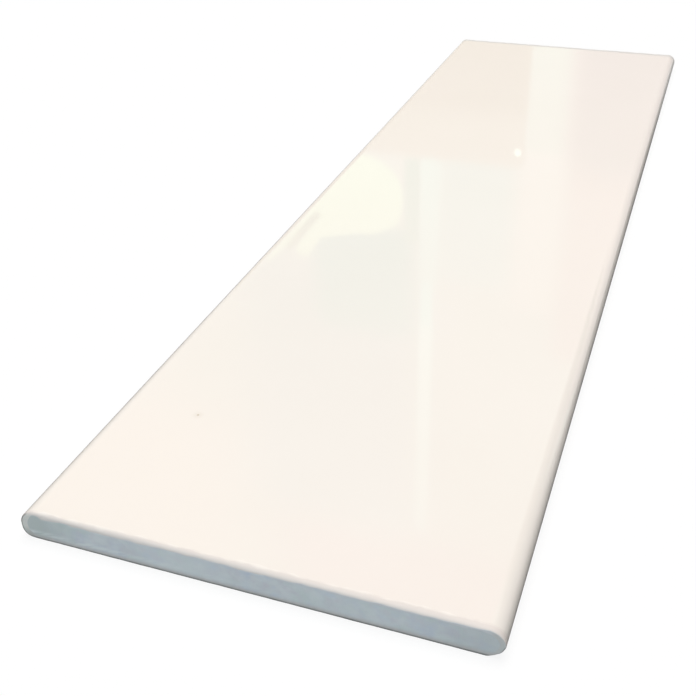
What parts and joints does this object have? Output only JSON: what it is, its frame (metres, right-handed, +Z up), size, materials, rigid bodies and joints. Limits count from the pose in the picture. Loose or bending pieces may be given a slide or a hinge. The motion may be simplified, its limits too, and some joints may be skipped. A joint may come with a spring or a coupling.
{
  "type": "window sill board",
  "caption": "Flat white sill board with a full bullnose along both long edges and square-sawn ends, laid under a window.",
  "frame": {"origin": "middle of the underside, on the surface that the board lies on", "axes": "+Y along the board's length, +X across its width from one rounded edge to the other, +Z up through its thickness to the top face"},
  "size_m": [0.28, 1, 0.019],
  "materials": {
    "extruded_pvc_board": "gloss"
  },
  "bodies": {
    "root": {"sill_board": "extruded_pvc_board"}
  },
  "joints": []
}
